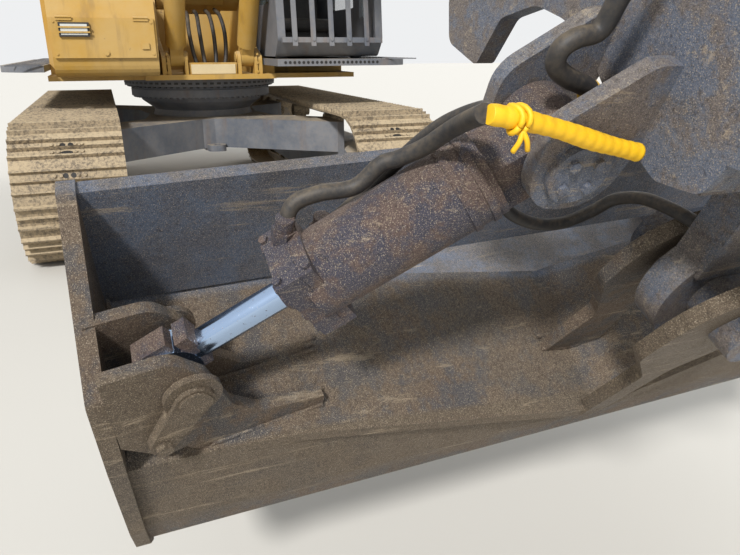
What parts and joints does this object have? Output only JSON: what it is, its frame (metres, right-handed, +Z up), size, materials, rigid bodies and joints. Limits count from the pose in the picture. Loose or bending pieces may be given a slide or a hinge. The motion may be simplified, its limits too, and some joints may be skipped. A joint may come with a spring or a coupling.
{
  "type": "crawler excavator",
  "caption": "Tracked excavator with a slewing upper structure, cab, boom, stick and a wide ditch bucket on a sideways tilting hanger.",
  "frame": {"origin": "on the ground, under the middle of the machine's length and width", "axes": "+X forward along the tracks and the boom, +Y to the cab's side, +Z up"},
  "size_m": [10.6621, 3.56, 5.6436],
  "materials": {
    "ochre_paint": "faded paint",
    "slate_paint": "faded paint",
    "dusty_steel": "dusty",
    "worn_steel": "worn and rusty",
    "chrome_rod": "polished",
    "window": "clear",
    "black_paint": "matte",
    "seat_cloth": "woven"
  },
  "bodies": {
    "undercarriage": {"carbody": "slate_paint", "track_frame_left": "slate_paint", "track_frame_right": "slate_paint", "track_left": "dusty_steel", "track_right": "dusty_steel", "sprockets": "dusty_steel", "idlers": "dusty_steel", "bottom_rollers": "dusty_steel", "carrier_rollers": "dusty_steel", "final_drives": "slate_paint"},
    "upper": {"slew_ring": "slate_paint", "deck": "ochre_paint", "counterweight": "ochre_paint", "engine": "dusty_steel", "engine_housing": "ochre_paint", "hydraulic_tank": "ochre_paint", "tool_box": "ochre_paint", "catwalks": "slate_paint", "handrails": "slate_paint", "exhaust": "black_paint", "cab_shell": "slate_paint", "cab_glass": "window", "cab_guard": "slate_paint", "seat": "seat_cloth"},
    "tool_box_door": {"tool_box_door": "ochre_paint"},
    "cab_door": {"cab_door": "slate_paint", "cab_door_glass": "window"},
    "boom": {"boom": "ochre_paint"},
    "stick": {"stick": "ochre_paint"},
    "hanger": {"hanger": "slate_paint"},
    "bucket": {"bucket": "worn_steel"},
    "rocker": {"rocker": "ochre_paint"},
    "push_link": {"push_link": "ochre_paint"},
    "boom_barrel_left": {"boom_barrel_left": "ochre_paint"},
    "boom_barrel_right": {"boom_barrel_right": "ochre_paint"},
    "boom_rod_left": {"boom_rod_left": "chrome_rod"},
    "boom_rod_right": {"boom_rod_right": "chrome_rod"},
    "stick_barrel": {"stick_barrel": "ochre_paint"},
    "stick_rod": {"stick_rod": "chrome_rod"},
    "bucket_barrel": {"bucket_barrel": "ochre_paint"},
    "bucket_rod": {"bucket_rod": "chrome_rod"},
    "tilt_barrel_left": {"tilt_barrel_left": "worn_steel"},
    "tilt_barrel_right": {"tilt_barrel_right": "worn_steel"},
    "tilt_rod_left": {"tilt_rod_left": "chrome_rod"},
    "tilt_rod_right": {"tilt_rod_right": "chrome_rod"}
  },
  "joints": [
    {"name": "slew", "type": "hinge", "parent": "undercarriage", "child": "upper", "pos_m": [-1.908, 0, 1.178], "axis": [0, 0, 1], "continuous": true},
    {"name": "boom_lift", "type": "hinge", "parent": "upper", "child": "boom", "pos_m": [-1.758, 0, 2.05], "axis": [0, -1, 0], "range_deg": [-47, 38]},
    {"name": "stick_swing", "type": "hinge", "parent": "boom", "child": "stick", "pos_m": [3.80022, 0, 4.79704], "axis": [0, 1, 0], "range_deg": [-50, 40]},
    {"name": "bucket_curl", "type": "hinge", "parent": "stick", "child": "hanger", "pos_m": [4.76845, 0, 1.85213], "axis": [0, 1, 0], "range_deg": [-70, 50]},
    {"name": "bucket_tilt", "type": "hinge", "parent": "hanger", "child": "bucket", "pos_m": [4.742, 0, 1.166], "axis": [0.8829, 0, -0.4695], "range_deg": [-33, 27]},
    {"name": "cab_door_hinge", "type": "hinge", "parent": "upper", "child": "cab_door", "pos_m": [-1.845, 1.512, 2.3], "axis": [0, 0, 1], "range_deg": [0, 100]},
    {"name": "tool_box_hinge", "type": "hinge", "parent": "upper", "child": "tool_box_door", "pos_m": [-0.548, -0.925, 1.806], "axis": [0, -1, 0], "range_deg": [0, 100]},
    {"name": "boom_barrel_left_swing", "type": "hinge", "parent": "upper", "child": "boom_barrel_left", "pos_m": [-1.008, 0.325, 1.49], "axis": [0, -1, 0], "range_deg": [-47.59, 38.57]},
    {"name": "boom_rod_left_slide", "type": "slide", "parent": "boom_barrel_left", "child": "boom_rod_left", "axis": [0.5382, 0, 0.8428], "range_m": [-0.7024, 0.5683]},
    {"name": "boom_barrel_right_swing", "type": "hinge", "parent": "upper", "child": "boom_barrel_right", "pos_m": [-1.008, -0.325, 1.49], "axis": [0, -1, 0], "range_deg": [-47.59, 38.57]},
    {"name": "boom_rod_right_slide", "type": "slide", "parent": "boom_barrel_right", "child": "boom_rod_right", "axis": [0.5382, 0, 0.8428], "range_m": [-0.7024, 0.5683]},
    {"name": "stick_barrel_swing", "type": "hinge", "parent": "boom", "child": "stick_barrel", "pos_m": [0.23377, 0, 4.33949], "axis": [0, 1, 0], "range_deg": [-1.69, 1.45]},
    {"name": "stick_rod_slide", "type": "slide", "parent": "stick_barrel", "child": "stick_rod", "axis": [0.9482, 0, 0.3177], "range_m": [-0.5685, 0.4552]},
    {"name": "rocker_swing", "type": "hinge", "parent": "stick", "child": "rocker", "pos_m": [4.59394, 0, 2.47898], "axis": [0, 1, 0], "range_deg": [-49.97, 35.84]},
    {"name": "push_link_swing", "type": "hinge", "parent": "rocker", "child": "push_link", "pos_m": [5.25014, 0, 2.30068], "axis": [0, 1, 0], "range_deg": [-30.56, 42.58]},
    {"name": "bucket_barrel_swing", "type": "hinge", "parent": "stick", "child": "bucket_barrel", "pos_m": [4.29629, 0, 4.69698], "axis": [0, 1, 0], "range_deg": [-7.14, 5.25]},
    {"name": "bucket_rod_slide", "type": "slide", "parent": "bucket_barrel", "child": "bucket_rod", "axis": [0.3698, 0, -0.9291], "range_m": [-0.4865, 0.3481]},
    {"name": "tilt_barrel_left_swing", "type": "hinge", "parent": "hanger", "child": "tilt_barrel_left", "pos_m": [4.71271, 0.355, 1.4432], "axis": [0.8829, 0, -0.4695], "range_deg": [-36.8, 30.2]},
    {"name": "tilt_rod_left_slide", "type": "slide", "parent": "tilt_barrel_left", "child": "tilt_rod_left", "axis": [-0.2229, 0.8801, -0.4192], "range_m": [-0.1151, 0.1402]},
    {"name": "tilt_barrel_right_swing", "type": "hinge", "parent": "hanger", "child": "tilt_barrel_right", "pos_m": [4.71271, -0.355, 1.4432], "axis": [0.8829, 0, -0.4695], "range_deg": [-40.1, 32.9]},
    {"name": "tilt_rod_right_slide", "type": "slide", "parent": "tilt_barrel_right", "child": "tilt_rod_right", "axis": [-0.2754, -0.8099, -0.5179], "range_m": [-0.1546, 0.1269]}
  ],
  "couplings": [
    {"joint": "boom_barrel_left_swing", "follows": "boom_lift", "ratio": 1.0019},
    {"joint": "boom_rod_left_slide", "follows": "boom_lift", "m_per_rad": 0.8538},
    {"joint": "boom_barrel_right_swing", "follows": "boom_lift", "ratio": 1.0019},
    {"joint": "boom_rod_right_slide", "follows": "boom_lift", "m_per_rad": 0.8538},
    {"joint": "stick_barrel_swing", "follows": "stick_swing", "ratio": 0.0238},
    {"joint": "stick_rod_slide", "follows": "stick_swing", "m_per_rad": 0.6492},
    {"joint": "rocker_swing", "follows": "bucket_curl", "ratio": 0.7067},
    {"joint": "push_link_swing", "follows": "bucket_curl", "ratio": -0.6012},
    {"joint": "bucket_barrel_swing", "follows": "bucket_curl", "ratio": 0.0949},
    {"joint": "bucket_rod_slide", "follows": "bucket_curl", "m_per_rad": 0.3966},
    {"joint": "tilt_barrel_left_swing", "follows": "bucket_tilt", "ratio": 1.1},
    {"joint": "tilt_rod_left_slide", "follows": "bucket_tilt", "m_per_rad": -0.24},
    {"joint": "tilt_barrel_right_swing", "follows": "bucket_tilt", "ratio": 1.2},
    {"joint": "tilt_rod_right_slide", "follows": "bucket_tilt", "m_per_rad": 0.265}
  ]
}
